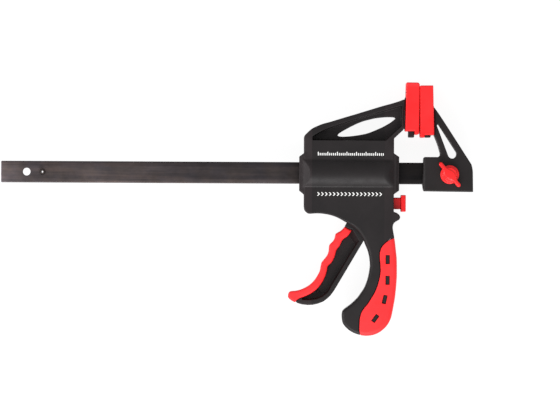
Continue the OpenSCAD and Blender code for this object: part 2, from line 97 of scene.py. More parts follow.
BODY = (curve(ARM_TOP) + curve(LOW_LEFT) + curve(GRIP_OUTER) + curve(HEEL)
        + [(-20, 27), (-12.6, 34)])
GRIP_LINE = [(-19.4, -51), (-22.7, -52.5), (-25.1, -54), (-27.5, -56.1), (-29.5, -58.8),
             (-30.5, -61.9), (-30.8, -65.2), (-30.5, -69.4), (-30.2, -73), (-30.1, -76.7),
             (-30.5, -80.9), (-31.4, -85.1), (-32.9, -90), (-34.7, -94.2), (-37.2, -98.4),
             (-39.9, -102.7), (-42.6, -106), (-44.4, -108.7), (-45.6, -111.7),
             (-46.3, -115.3), (-46.5, -119.5), (-46.5, -123.8), (-45.9, -127.55)]
# everything on the soft grip's side of its edge line
SOFT_SIDE = ([(-14, -48.6)] + curve(GRIP_LINE) + [(-45.3, -132), (0, -132), (0, -48)])
CORE = (curve([(-22.6, -55), (-21.3, -61.5), (-20.4, -67), (-20.2, -73), (-20.2, -80.2),
               (-20.4, -86.3), (-20.9, -92.3), (-21.6, -97.8), (-22.6, -103.2),
               (-23.9, -108.6), (-25.5, -113.4), (-27.5, -117.3), (-30.3, -120.6),
               (-33.8, -123.2), (-37.2, -124.6), (-40.5, -125.3), (-43.2, -125.3),
               (-48.5, -124)], 2)
        + [(-51, -118), (-48.5, -108), (-40, -97), (-34, -86), (-33, -72), (-33.5, -62),
           (-31, -57), (-26, -53)])
WINDOWS = [((-24.6, -68), 0, 7.0), ((-24.6, -84.2), 0, 7.0),
           ((-26.8, -99.3), -13, 7.0), ((-34.1, -114.2), -36, 6.6)]
POCKET = (curve([(-14, 53), (-20, 51.3), (-40, 45.4), (-50, 42.4), (-60, 39), (-70, 35.7),
                 (-76, 33.3), (-80, 31.2), (-84, 28.5)])
          + [(-84, 25.5), (-26.3, 25.5), (-14, 37)])
LENS = (curve([(-64.3, 29.2), (-63.3, 30.8), (-60, 32.9), (-55, 35.7), (-50, 38.2),
               (-45, 40.3), (-40, 41.7), (-35, 42.9), (-30, 43.55), (-25, 43.9),
               (-20, 43.7), (-18.9, 42.6)])
        + curve([(-19.9, 42), (-22.6, 39.8), (-26.6, 37.4), (-29.9, 35.65), (-35, 33.4),
                 (-40, 31.4), (-45, 30.15), (-50, 29.3), (-55, 28.7), (-60, 28.4),
                 (-63, 28.6)]))
CHAMBER = [(-87.5, -28.5), (-87.5, 22), (-22.5, 22), (-22.5, -33), (-34.2, -33),
           (-34.2, -48), (-35.6, -56), (-37.8, -63.5), (-41, -70), (-52, -68),
           (-66, -46), (-63, -33), (-70, -30), (-80, -28.6)]
COLLAR_L = [(-88, 15.7), (-90.4, 15.5), (-94.4, 12.6), (-94.4, -14.2), (-90.4, -17.5),
            (-88, -17.6)]
COLLAR_R = [(-22.4, 15.5), (-20, 15.4), (-15.9, 12.6), (-15.9, -13.9), (-20, -16.8),
            (-22.4, -16.9)]
SCREWS = [(-81.5, 17), (-25.7, 19.2), (-81.5, -24), (-27.5, -38.5), (-34.6, -74),
          (-53, -114.5)]

TRIGGER_BACK = [(-95.6, -102.6), (-91.9, -103.65), (-87.2, -104.15), (-83.2, -103.95),
                (-79.1, -103), (-74.9, -101.3), (-71.9, -99), (-69.3, -96.5),
                (-66.7, -92.95), (-64.8, -89.8), (-59.2, -80.25), (-43.6, -53.65),
                (-41, -46.5), (-39.8, -38), (-39.5, -29)]
FINGER_INNER = [(-53, -45.2), (-54.5, -47.8), (-56.5, -50.1), (-59.7, -52.4),
                (-60.9, -54.4), (-62.3, -57.4), (-64.8, -60.7), (-65.5, -63.5),
                (-66.6, -66.7), (-68.6, -70.5), (-71.5, -73.3), (-72.1, -76.1),
                (-73.3, -80.6), (-75.1, -84.6), (-77.6, -88.6), (-80.6, -91.9),
                (-84.7, -94.9), (-89.2, -97.2), (-93.7, -98.9), (-96.8, -101.3)]
FINGER_OUTER = [(-58.4, -42.4), (-60, -44.4), (-62.1, -46.1), (-65.1, -47.8),
                (-65.8, -49.4), (-66.3, -51.7), (-67.6, -54), (-69.9, -56.3),
                (-70.6, -58), (-70.9, -61.5), (-71.9, -64.8), (-74.1, -67.8),
                (-76.4, -70.8), (-77.1, -73.6), (-77.9, -77.6), (-79.7, -81.1),
                (-81.75, -84.35), (-84.55, -87.35), (-88.1, -89.9), (-92.1, -91.8),
                (-96.2, -93), (-100, -93.3), (-101.7, -94), (-102.6, -95.7),
                (-102.7, -97.9), (-101.4, -99.6), (-99.1, -101.2), (-96.9, -102.1)]
FINGER = curve(FINGER_OUTER) + curve(FINGER_INNER)[::-1]
TRIGGER = ([(-50.4, -28.5), (-54, -35.5), (-57.3, -40.2), (-58.4, -42.4)]
           + curve(FINGER_INNER) + TRIGGER_BACK)
TRIGGER_POCKET = ([(-46.7, -54), (-52.4, -44.7)] + curve(FINGER_INNER[:-2])
                  + [(-91.2, -98.2), (-91.8, -100), (-85.2, -100.2), (-79.7, -99.2),
                     (-75.2, -97.2), (-71.1, -93.6), (-68.1, -88.1), (-64.1, -81.5),
                     (-59, -73), (-54, -64.4), (-47.6, -54.1)])

JAW = ([(3.9, -14.3), (42.3, -14.7), (42.1, -3.1), (42, 1.6), (41.5, 4.8), (40.9, 7),
        (39.3, 9.5), (35, 16.1), (30, 23.9), (25, 31.6), (20, 39.3), (15, 46.8),
        (11.3, 51.9), (11.75, 29)]
       + curve([(11.75, 29), (14.2, 22.9), (15.9, 17.4), (16.4, 15.4), (16.2, 13.8),
                (14.8, 12.65)]) + [(3.9, 12.65), (3.3, 11.5), (3.1, 8), (2.4, -8.5), (3.1, -13)])
SLOT_A, SLOT_B = (14.5, 37.4, 0.9), (25.8, 15.1, 3.55)
KNOB_AT = (23.7, -1.1)


# ------------------------------------------------------------------ distance fields
class Plan:
    """Signed distances to flat outlines, kept on one fine grid over x and y."""

    def __init__(self, x0, x1, y0, y1, cell=0.25):
        self.x0, self.y0, self.cell = x0, y0, cell
        self.xs = x0 + cell * np.arange(int(math.ceil((x1 - x0) / cell)) + 1)
        self.ys = y0 + cell * np.arange(int(math.ceil((y1 - y0) / cell)) + 1)
        self.maps = {}

    def add(self, name, pts, reach=7.0, closed=True):
        pts = np.asarray(pts, float)
        if closed:
            pts = pts[np.linalg.norm(pts - np.roll(pts, 1, 0), axis=1) > 1e-6]
        nx, ny, c = len(self.xs), len(self.ys), self.cell
        d2 = np.full((nx, ny), float(reach * reach))
        flip = np.zeros((nx + 1, ny), np.int32)
        last = len(pts) if closed else len(pts) - 1
        for i in range(last):
            a, b = pts[i], pts[(i + 1) % len(pts)]
            e = b - a
            L = float(e @ e)
            if L < 1e-12:
                continue
            i0 = max(0, int((min(a[0], b[0]) - reach - self.x0) / c))
            i1 = min(nx, int((max(a[0], b[0]) + reach - self.x0) / c) + 2)
            j0 = max(0, int((min(a[1], b[1]) - reach - self.y0) / c))
            j1 = min(ny, int((max(a[1], b[1]) + reach - self.y0) / c) + 2)
            if i0 < i1 and j0 < j1:
                X = self.xs[i0:i1, None] - a[0]
                Y = self.ys[None, j0:j1] - a[1]
                t = np.clip((X * e[0] + Y * e[1]) / L, 0, 1)
                view = d2[i0:i1, j0:j1]
                np.minimum(view, (X - t * e[0]) ** 2 + (Y - t * e[1]) ** 2, out=view)
            if closed and a[1] != b[1]:
                js = np.nonzero((a[1] <= self.ys) != (b[1] <= self.ys))[0]
                if len(js):
                    xc = a[0] + (self.ys[js] - a[1]) * e[0] / e[1]
                    np.add.at(flip, (np.clip(np.ceil((xc - self.x0) / c), 0, nx).astype(int), js), 1)
        d = np.sqrt(d2)
        if closed:
            d[np.cumsum(flip, axis=0)[:nx] % 2 == 1] *= -1
        self.maps[name] = d.astype(np.float32)

    def at(self, x, y):
        """A function that gives a map's values at the points."""
        u = np.clip((x - self.x0) / self.cell, 0, len(self.xs) - 1.001)
        v = np.clip((y - self.y0) / self.cell, 0, len(self.ys) - 1.001)
        i, j = u.astype(np.int64), v.astype(np.int64)
        fu, fv = u - i, v - j

        def look(name):
            m = self.maps[name]
            return ((m[i, j] * (1 - fu) + m[i + 1, j] * fu) * (1 - fv)
                    + (m[i, j + 1] * (1 - fu) + m[i + 1, j + 1] * fu) * fv)
        return look


def rint(a, b, r):
    """Both a and b, with the edge between them rounded to radius r."""
    u, v = a + r, b + r
    return np.hypot(np.maximum(u, 0), np.maximum(v, 0)) + np.minimum(np.maximum(u, v), 0) - r


def runi(a, b, r):
    """Either a or b, with the corner between them filled to radius r."""
    return -rint(-a, -b, r)


def step(a, b, x):
    t = np.clip((x - a) / (b - a), 0, 1)
    return t * t * (3 - 2 * t)


def box2(x, y, cx, cy, hx, hy, turn=0.0, r=0.3):
    a = math.radians(turn)
    u = (x - cx) * math.cos(a) + (y - cy) * math.sin(a)
    v = -(x - cx) * math.sin(a) + (y - cy) * math.cos(a)
    return rint(np.abs(u) - hx, np.abs(v) - hy, r)


def nets(F, lo, h):
    """Closed mesh of quads on the zero level of the samples F."""
    inside = F < 0
    nx, ny, nz = F.shape
    count = np.zeros((nx - 1, ny - 1, nz - 1), np.uint8)
    for c in range(8):
        dx, dy, dz = c & 1, (c >> 1) & 1, (c >> 2) & 1
        count += inside[dx:nx - 1 + dx, dy:ny - 1 + dy, dz:nz - 1 + dz]
    I, J, K = np.nonzero((count > 0) & (count < 8))
    index = np.full(count.shape, -1, np.int64)
    index[I, J, K] = np.arange(len(I))
    val = [F[I + (c & 1), J + ((c >> 1) & 1), K + ((c >> 2) & 1)] for c in range(8)]
    acc, w = np.zeros((len(I), 3)), np.zeros(len(I))
    for a in range(8):
        for axis in range(3):
            if a & (1 << axis):
                continue
            b = a | (1 << axis)
            cross = (val[a] < 0) != (val[b] < 0)
            va, vb = val[a][cross], val[b][cross]
            pos = np.empty((len(va), 3))
            for k in range(3):
                pos[:, k] = (a >> k) & 1
            pos[:, axis] = va / (va - vb)
            acc[cross] += pos
            w[cross] += 1
    V = np.array(lo) + h * (np.stack([I, J, K], 1) + acc / w[:, None])
    quads = []
    for axis in range(3):
        lower = [slice(1, -1)] * 3
        upper = [slice(1, -1)] * 3
        lower[axis], upper[axis] = slice(0, -1), slice(1, None)
        s0, s1 = inside[tuple(lower)], inside[tuple(upper)]
        at = [g for g in np.nonzero(s0 != s1)]
        out = s0[tuple(at)]
        for k in range(3):
            if k != axis:
                at[k] = at[k] + 1
        b, c = (axis + 1) % 3, (axis + 2) % 3

        def cell(db, dc):
            g = list(at)
            g[b] = g[b] + db
            g[c] = g[c] + dc
            return index[tuple(g)]
        q = np.stack([cell(-1, -1), cell(0, -1), cell(0, 0), cell(-1, 0)], 1)
        q[~out] = q[~out][:, ::-1]
        quads.append(q)
    return V, np.concatenate(quads)


def grad(field, V, e=0.12):
    g = np.empty_like(V)
    for k in range(3):
        d = np.zeros(3)
        d[k] = e
        g[:, k] = (field(*(V + d).T) - field(*(V - d).T)) / (2 * e)
    return g


def blender_mesh(name, V, faces):
    me = bpy.data.meshes.new(name)
    n = faces.shape[1]
    me.vertices.add(len(V))
    me.vertices.foreach_set("co", np.ascontiguousarray(V, np.float32).ravel())
    me.loops.add(faces.size)
    me.loops.foreach_set("vertex_index", faces.ravel().astype(np.int32))
    me.polygons.add(len(faces))
    me.polygons.foreach_set("loop_start", np.arange(0, faces.size, n, dtype=np.int32))
    me.update(calc_edges=True)
    return me


def carve(name, shape, lo, hi, h, keep, plan=None):
    """Mesh of the solid where shape < 0, in the box lo..hi, sampled every h mm and thinned to the share keep of its faces.
    Returns the vertices in mm, the triangles and the exact normals."""
    lo = np.array(lo, float) - 2 * h
    hi = np.array(hi, float) + 2 * h
    n = np.ceil((hi - lo) / h).astype(int) + 1
    xs, ys, zs = (lo[k] + h * np.arange(n[k]) for k in range(3))
    if plan:
        X, Y = np.meshgrid(xs, ys, indexing="ij")
        look = plan.at(X, Y)
        got = {}

        def P(key):
            if key not in got:
                got[key] = look(key)[:, :, None]
            return got[key]
        F = shape(P, xs[:, None, None], ys[None, :, None], zs[None, None, :])
    else:
        F = shape(None, xs[:, None, None], ys[None, :, None], zs[None, None, :])
    F = np.broadcast_to(F, tuple(n)).astype(np.float32)
    F = np.where(np.abs(F) < 1e-5, 1e-5, F)
    V, Q = nets(F, lo, h)

    def field(x, y, z):
        return shape(plan.at(x, y) if plan else None, x, y, z)

    def settle(V, times):
        for _ in range(times):
            f = field(*V.T)
            g = grad(field, V)
            g2 = np.maximum((g * g).sum(1), 0.15)
            V = V - g * np.clip(f / g2, -0.5 * h, 0.5 * h)[:, None]
        return V
    V = settle(V, 1)
    ob = bpy.data.objects.new(name + "_raw", blender_mesh(name + "_raw", V, Q))
    bpy.context.scene.collection.objects.link(ob)
    m = ob.modifiers.new("thin", "DECIMATE")
    m.ratio = keep
    m.use_collapse_triangulate = True
    dg = bpy.context.evaluated_depsgraph_get()
    me = bpy.data.meshes.new_from_object(ob.evaluated_get(dg))
    raw = ob.data
    bpy.data.objects.remove(ob)
    bpy.data.meshes.remove(raw)
    V = np.empty(len(me.vertices) * 3, np.float32)
    me.vertices.foreach_get("co", V)
    V = V.reshape(-1, 3).astype(float)
    me.calc_loop_triangles()
    T = np.empty(len(me.loop_triangles) * 3, np.int32)
    me.loop_triangles.foreach_get("vertices", T)
    T = T.reshape(-1, 3)
    bpy.data.meshes.remove(me)
    V = settle(V, 2)
    N = grad(field, V)
    N /= np.maximum(np.linalg.norm(N, axis=1), 1e-9)[:, None]
    # where the field has a crease, the faces' own normals are the better guide
    fn = np.cross(V[T[:, 1]] - V[T[:, 0]], V[T[:, 2]] - V[T[:, 0]])
    own = np.zeros_like(V)
    for k in range(3):
        np.add.at(own, T[:, k], fn)
    own /= np.maximum(np.linalg.norm(own, axis=1), 1e-12)[:, None]
    bad = (own * N).sum(1) < 0.5
    N[bad] = own[bad]
    return V, T, N


def piece(name, V, T, N, body, slot, material, *nodes):
    low, high = (np.array([float(c) for c in corner]) for corner in CAD_BOX)
    me = blender_mesh(name, np.clip(row(V), low, high), T)
    me.polygons.foreach_set("use_smooth", np.ones(len(me.polygons), bool))
    me.normals_split_custom_set_from_vertices(N.tolist())
    me.materials.append(material)
    ob = bpy.data.objects.new(name, me)
    bpy.context.scene.collection.objects.link(ob)
    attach(ob, body)
    if nodes:
        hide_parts(*nodes)
    return ob


def flipped(V, T, N):
    """The same mesh, mirrored in the parting plane."""
    m = np.array([1, 1, -1])
    return V * m, T[:, ::-1].copy(), N * m


# ------------------------------------------------------------------ materials
def linear(hexcode):
    c = [int(hexcode[i:i + 2], 16) / 255 for i in (0, 2, 4)]
    return [v / 12.92 if v <= 0.04045 else ((v + 0.055) / 1.055) ** 2.4 for v in c] + [1.0]


def new_material(name):
    mat = bpy.data.materials.new(name)
    mat.use_nodes = True
    nt = mat.node_tree
    nt.nodes.clear()
    out = nt.nodes.new("ShaderNodeOutputMaterial")
    bsdf = nt.nodes.new("ShaderNodeBsdfPrincipled")
    nt.links.new(bsdf.outputs[0], out.inputs[0])
    co = nt.nodes.new("ShaderNodeTexCoord")
    return mat, nt, bsdf, co.outputs["Object"]


def noise(nt, co, scale, detail=3.0, rough=0.5, stretch=None):
    if stretch:
        mp = nt.nodes.new("ShaderNodeMapping")
        mp.inputs["Scale"].default_value = stretch
        nt.links.new(co, mp.inputs["Vector"])
        co = mp.outputs[0]
    n = nt.nodes.new("ShaderNodeTexNoise")
    n.inputs["Scale"].default_value = scale
    n.inputs["Detail"].default_value = detail
    n.inputs["Roughness"].default_value = rough
    nt.links.new(co, n.inputs["Vector"])
    return n.outputs["Fac"]


def ramp(nt, fac, stops):
    r = nt.nodes.new("ShaderNodeValToRGB")
    nt.links.new(fac, r.inputs["Fac"])
    el = r.color_ramp.elements
    while len(el) < len(stops):
        el.new(0.5)
    for e, (pos, col) in zip(el, stops):
        e.position = pos
        e.color = col
    return r.outputs["Color"]


def spread(nt, fac, a, b, lo, hi):
    m = nt.nodes.new("ShaderNodeMapRange")
    m.inputs["From Min"].default_value = a
    m.inputs["From Max"].default_value = b
    m.inputs["To Min"].default_value = lo
    m.inputs["To Max"].default_value = hi
    nt.links.new(fac, m.inputs["Value"])
    return m.outputs["Result"]


def mixed(nt, fac, a, b):
    m = nt.nodes.new("ShaderNodeMix")
    m.data_type = "RGBA"
    nt.links.new(fac, m.inputs["Factor"])
    for sock, v in ((m.inputs[6], a), (m.inputs[7], b)):
        if isinstance(v, (list, tuple)):
            sock.default_value = v
        else:
            nt.links.new(v, sock)
    return m.outputs[2]


def bump(nt, bsdf, layers):
    """Bumps on bumps: (height, strength, distance in metres)."""
    prev = None
    for h, s, d in layers:
        b = nt.nodes.new("ShaderNodeBump")
        b.inputs["Strength"].default_value = s
        b.inputs["Distance"].default_value = d
        nt.links.new(h, b.inputs["Height"])
        if prev:
            nt.links.new(prev, b.inputs["Normal"])
        prev = b.outputs["Normal"]
    nt.links.new(prev, bsdf.inputs["Normal"])


def times(nt, a, b, share=1.0):
    m = nt.nodes.new("ShaderNodeMix")
    m.data_type = "RGBA"
    m.blend_type = "MULTIPLY"
    m.inputs["Factor"].default_value = share
    nt.links.new(a, m.inputs[6])
    nt.links.new(b, m.inputs[7])
    return m.outputs[2]


def along(nt, co, direction):
    """The place along a direction, in metres."""
    d = nt.nodes.new("ShaderNodeVectorMath")
    d.operation = "DOT_PRODUCT"
    d.inputs[1].default_value = direction
    nt.links.new(co, d.inputs[0])
    return d.outputs["Value"]


def moulded(name, dark, light, rough, grain, grain_depth, level, zones=(), swell=0.10):
    """Moulded plastic or rubber: cloudy tint, fine erosion grain, uneven sheen.
    Zones are (direction, from, to, colour factor before, colour factor after)."""
    mat, nt, bsdf, co = new_material(name)
    cloud = noise(nt, co, 45, 4, 0.55)
    speck = noise(nt, co, grain, 2, 0.6)
    col = ramp(nt, cloud, [(0.3, linear(dark)), (0.7, linear(light))])
    tint = ramp(nt, speck, [(0.35, (0.86, 0.86, 0.86, 1)), (0.65, (1, 1, 1, 1))])
    col = times(nt, col, tint)
    for direction, a, b, before, after in zones:
        at = spread(nt, along(nt, co, direction), a, b, 0, 1)
        if name == "black_nylon" and after[0] != 1:
            flat = nt.nodes.new("ShaderNodeMath")
            flat.operation = "MULTIPLY"
            nt.links.new(at, flat.inputs[0])
            nt.links.new(spread(nt, along(nt, co, (0, 0, 1)), 0.0299, 0.0296, 0, 1), flat.inputs[1])
            at = flat.outputs[0]
        col = times(nt, col, mixed(nt, at, [*before, 1.0], [*after, 1.0]))
    nt.links.new(col, bsdf.inputs["Base Color"])
    nt.links.new(spread(nt, noise(nt, co, 130, 3, 0.6), 0.3, 0.7, rough - 0.05, rough + 0.06),
                 bsdf.inputs["Roughness"])
    bsdf.inputs["Specular IOR Level"].default_value = level
    bump(nt, bsdf, [(noise(nt, co, grain, 3, 0.6), 0.35, grain_depth),
                    (noise(nt, co, 60, 2, 0.5), swell, 0.0004)])
    return mat


BLACK = moulded("black_nylon", "171415", "1f1b1c", 0.50, 2600, 0.00006, 0.23,
                [((1, 0, 0), 0.0588, 0.0592, (1.72, 1.56, 1.58), (1, 1, 1)),
                 ((1, 0, 0), 0.1158, 0.1162, (1, 1, 1), (1.38, 1.26, 1.27))])
BLACK_JAW = moulded("black_nylon_jaw", "171313", "1e1a1b", 0.48, 2600, 0.00006, 0.24)
SOFT = moulded("red_grip_rubber", "ec2629", "f33135", 0.55, 2100, 0.00007, 0.24)
# pads: the bottom band is painted a deeper red as painted shade on the downward bevel, and the top edge is painted
# pinker as a painted sheen
PAD = moulded("red_pad_rubber", "e91d20", "f1282b", 0.55, 1800, 0.00008, 0.22,
              [((0, 1, 0), 0.0585, 0.0612, (0.86, 0.62, 0.62), (1, 1, 1)),
               ((0, 1, 0), 0.0955, 0.0985, (1, 1, 1), (1.06, 1.9, 1.9))])
HARD_RED = moulded("red_gloss_plastic", "e6171a", "ee2022", 0.34, 1500, 0.000008, 0.34, (), 0.04)
# button: the shaft left of the cap is painted darker, as painted shade from the cap and the housing
BUTTON_RED = moulded("red_button_plastic", "d81619", "e21d20", 0.36, 3000, 0.00002, 0.30,
                     [((1, 0, 0), 0.1276, 0.1296, (0.72, 0.5, 0.5), (1, 1, 1))], 0.04)


# brightness factors along the bar, from the free end to the jaw: the rise toward the free end is a painted
# highlight, and the dip in the neck between the housing and the jaw is painted shadow
SKIN_AND_PAINTED_LIGHT = [(-0.186, 1.95), (-0.177, 1.50), (-0.168, 1.10), (-0.150, 0.98), (-0.130, 0.92),
        (-0.112, 1.20), (-0.094, 1.06), (-0.070, 0.92), (-0.048, 0.74), (-0.022, 0.60),
        (0.030, 0.56), (0.046, 0.42), (0.128, 0.13), (0.185, 0.13)]


def blackened(name):
    """Rolled bar with a blackened skin: brown mottling, fine draw lines, rubbed spots, with painted shade and
    painted highlight along and across it.
    """
    mat, nt, bsdf, co = new_material(name)
    blot = noise(nt, co, 26, 5, 0.62, (1.0, 2.4, 2.4))
    patch = noise(nt, co, 120, 3, 0.55, (1.0, 1.5, 1.5))
    hue = noise(nt, co, 75, 2, 0.5)
    lines = noise(nt, co, 420, 3, 0.6, (0.03, 1.0, 1.0))
    fine = noise(nt, co, 1500, 2, 0.6)
    base = ramp(nt, blot, [(0.30, linear("545050")), (0.5, linear("5d5858")), (0.72, linear("676060"))])
    rub = ramp(nt, lines, [(0.45, (0, 0, 0, 1)), (0.75, (1, 1, 1, 1))])
    col = mixed(nt, rub, base, linear("756a67"))
    col = times(nt, col, ramp(nt, patch, [(0.36, (0.86, 0.86, 0.865, 1)), (0.62, (1.08, 1.075, 1.08, 1))]))
    col = times(nt, col, ramp(nt, hue, [(0.38, (0.965, 0.955, 1.035, 1)), (0.6, (1.045, 0.985, 0.965, 1))]))
    # the bar's brightness along its length, with a painted highlight at the free end and painted shadow in the
    # neck
    span = ramp(nt, spread(nt, along(nt, co, (1, 0, 0)), -0.19, 0.19, 0, 1),
                [((x + 0.19) / 0.38, (0.5 * s, (0.487 + 0.02 * step(-0.07, 0, x)) * s,
                                      (0.483 + 0.032 * step(-0.07, 0, x)) * s, 1)) for x, s in SKIN_AND_PAINTED_LIGHT])
    col = times(nt, col, span)
    # painted shade along the upper edge and at the very lower edge, and a painted highlight band just above the
    # lower edge
    across = ramp(nt, spread(nt, along(nt, co, (0, 1, 0)), 0.0190, 0.0374, 0, 1),
                  [(0.0, (0.45, 0.45, 0.45, 1)), (0.07, (0.72, 0.72, 0.71, 1)), (0.17, (0.70, 0.70, 0.69, 1)),
                   (0.24, (0.62, 0.62, 0.62, 1)), (0.72, (0.62, 0.62, 0.62, 1)), (0.80, (0.47, 0.47, 0.48, 1)),
                   (0.96, (0.42, 0.42, 0.43, 1))])
    col = times(nt, col, across)
    # painted highlight along the lower edge toward the housing end; the rest of the bar is darkened
    lower_highlight = nt.nodes.new("ShaderNodeMath")
    lower_highlight.operation = "MULTIPLY"
    nt.links.new(spread(nt, along(nt, co, (1, 0, 0)), -0.060, -0.025, 0, 1), lower_highlight.inputs[0])
    nt.links.new(spread(nt, along(nt, co, (0, 1, 0)), 0.0235, 0.0215, 0, 1), lower_highlight.inputs[1])
    col = times(nt, col, mixed(nt, lower_highlight.outputs[0], [0.62, 0.62, 0.62, 1], [1.0, 0.98, 0.95, 1]))
    gain = nt.nodes.new("ShaderNodeVectorMath")
    gain.operation = "SCALE"
    gain.inputs["Scale"].default_value = 2.6
    nt.links.new(col, gain.inputs[0])
    nt.links.new(gain.outputs[0], bsdf.inputs["Base Color"])
    nt.links.new(spread(nt, blot, 0.3, 0.7, 0.40, 0.54), bsdf.inputs["Roughness"])
    bsdf.inputs["Metallic"].default_value = 0.5
    bsdf.inputs["Specular IOR Level"].default_value = 0.16
    bump(nt, bsdf, [(lines, 0.18, 0.00006), (patch, 0.12, 0.00015), (fine, 0.2, 0.00003)])
    return mat


def bright(name, dark, light, rough, metallic=1.0):
    mat, nt, bsdf, co = new_material(name)
    n = noise(nt, co, 300, 4, 0.6)
    nt.links.new(ramp(nt, n, [(0.3, linear(dark)), (0.7, linear(light))]), bsdf.inputs["Base Color"])
    nt.links.new(spread(nt, noise(nt, co, 900, 3, 0.6), 0.3, 0.7, rough - 0.05, rough + 0.08),
                 bsdf.inputs["Roughness"])
    bsdf.inputs["Metallic"].default_value = metallic
    bump(nt, bsdf, [(noise(nt, co, 1800, 2, 0.6), 0.2, 0.00003)])
    return mat


BAR = blackened("blackened_steel")
PLATE = bright("plate_steel", "4c4a48", "6a6764", 0.42)
SPRING = bright("spring_steel", "8e8f90", "b4b5b6", 0.28)
ZINC = bright("zinc_steel", "a6a8aa", "c8cacc", 0.30)
PIN = bright("pin_steel", "2a2422", "3a322e", 0.45, 0.6)


def ink(name):
    mat, nt, bsdf, co = new_material(name)
    n = noise(nt, co, 1400, 3, 0.6)
    nt.links.new(ramp(nt, n, [(0.3, linear("dcdcda")), (0.7, linear("f4f4f2"))]), bsdf.inputs["Base Color"])
    bsdf.inputs["Roughness"].default_value = 0.55
    bump(nt, bsdf, [(n, 0.15, 0.00002)])
    return mat


INK = ink("white_print")

# ------------------------------------------------------------------ housing
plan = Plan(-106, -8, -132, 66)
plan.add("body", BODY, 9)
plan.add("line", SOFT_SIDE, 9)
plan.add("core", CORE)
plan.add("pocket", POCKET)
plan.add("lens", LENS)
plan.add("chamber", CHAMBER)
plan.add("collar_l", COLLAR_L)
plan.add("collar_r", COLLAR_R)
# the edges of the arm and of the left side, that the shallow outer facet follows
plan.add("rim", curve(ARM_TOP) + [(-90.4, -12)], 8, closed=False)
plan.add("under", [(-20, 16), (-20, 27), (-12.6, 34)], 8, closed=False)
plan.add("close", [(-14.5, 57.1), (-10.95, 58.25), (-11.45, 35.4), (-14.5, 32.6)])


def head(x, y, at, turn, side):
    """u away from the work, v up, from the top of the pad."""
    a = math.radians(turn)
    qx = (x - at[0]) * math.cos(a) + (y - at[1]) * math.sin(a)
    qy = -(x - at[0]) * math.sin(a) + (y - at[1]) * math.cos(a)
    return side * qx, qy


def back_of(v):
    """The pad's back face, u at the height v."""
    return 10.35 - 0.5 * np.clip(v, -39, 0) / 38


def slab(u, v, u0, u1, v0, v1, r=0.4):
    return rint(np.abs(u - (u0 + u1) / 2) - (u1 - u0) / 2,
                np.abs(v - (v0 + v1) / 2) - (v1 - v0) / 2, r)


def housing(P, x, y, z, back=False):
    rim = P("rim")
    drop = 1.15 * np.clip(1 - rim / 6.0, 0, 1) * step(11, 17, y)
    drop = np.maximum(drop, 0.8 * np.clip(1 - P("under") / 5.2, 0, 1) * step(20, 27, y))
    round_ = 1.1 + 1.5 * step(-34, -44, y) * step(-24, -30, x)
    f = rint(P("body"), z - (12.5 - drop), round_)
    f = rint(f, 0.05 + 0.37 * np.clip(-0.5 * P("body") - 0.4, 0, 1) - P("line"), 0.3)
    # collars, with a lower lip where the bar passes
    f = runi(f, rint(P("collar_l"), z - (12.05 - 0.9 * step(-92.2, -92.8, x)), 0.9), 0.35)
    f = runi(f, rint(P("collar_r"), z - (12.05 - 0.9 * step(-17.9, -17.3, x)), 0.9), 0.35)
    # round bulge over the spring with sloping ends
    cyl = np.hypot(y + 0.5, z - 2.5) - 14.5
    left = (-(x + 91.3) * 4.6 + (z - 12.5) * 5.7) / 7.32
    right = ((x + 20.2) * 4.6 + (z - 12.5) * 5.8) / 7.40
    bulge = np.maximum(rint(rint(cyl, left, 0.5), right, 1.6), np.maximum(-91.3 - x, x + 20.2))
    f = runi(f, bulge, 0.6)
    # arm: pocket with drafted walls and the opening in its web
    taper = np.clip(12.5 - z, 0, 9) * 0.06
    f = rint(f, -rint(P("pocket") + taper, 4 - z, 0.5), 0.4)
    f = rint(f, -P("lens"), 0.6)
    f = np.minimum(f, rint(P("close"), z - 9.0, 0.4))
    # T-shaped head of the pad
    u, v = head(x, y, (-0.15, 71), -0.5, -1)
    w = u - back_of(v)
    f = np.minimum(f, rint(slab(w, v, 0.12, 0.6, -36.4, -6.7, 0.15), z - 12.0, 0.3))
    f = np.minimum(f, rint(slab(u, v, 11.3, 12.9, -36.4, -13.7), z - 12.0, 0.4))
    f = np.minimum(f, rint(slab(u, v, 8, 11, -37.8, -12), z - 4.4, 0.3))
    f = np.minimum(f, rint(slab(u, v, 3.7, 8.3, -43.05, -9, 0.6), z - 8.5, 0.6))
    # core under the soft grip, with the blocks that fill the grip's windows
    f = np.minimum(f, np.maximum(P("core"), z - 10.3))
    for (cx, cy), turn, length in WINDOWS:
        w = rint(box2(x, y, cx, cy, 1.5, length / 2 - 0.1, turn, 0.35), z - 12.4, 0.3)
        f = np.minimum(f, np.maximum(w, 9 - z))
    # hollow for the mechanism
    room = np.maximum(P("chamber"), z - 9.5)
    room = np.minimum(room, np.maximum(np.hypot(y + 0.3, z) - 12.5,
                                       np.maximum(-87.5 - x, x + 36)))
    for sx, sy in SCREWS[:3]:
        room = np.maximum(room, 3.5 - np.hypot(x - sx, y - sy))
    f = rint(f, -room, 0.3)
    bar_way = np.maximum(np.maximum(np.abs(y + 0.3) - 8.7, z - 2.7), np.minimum(x + 86, -24 - x))
    f = rint(f, -bar_way, 0.3)
    button_way = np.maximum(np.maximum(np.abs(y + 23.9) - 4.85, z - 5.8), -24 - x)
    f = rint(f, -button_way, 0.3)
    if back:
        for sx, sy in SCREWS:
            s = np.hypot(x - sx, y - sy)
            f = rint(f, -np.maximum(s - 3.1, 9.3 - z), 0.35)
            f = np.maximum(f, -np.maximum(s - 1.7, 5 - z))
    # parting edge
    return rint(f, -z, 0.35)


def grip(P, x, y, z):
    f = rint(rint(P("body"), z - 13.2, 3.4), P("line") + 0.02, 0.5)
    for (cx, cy), turn, length in WINDOWS:
        f = rint(f, -box2(x, y, cx, cy, 1.6, length / 2, turn, 0.35), 0.3)
    f = np.maximum(f, -np.maximum(P("core"), z - 10.4))
    return rint(f, -z, 0.35)


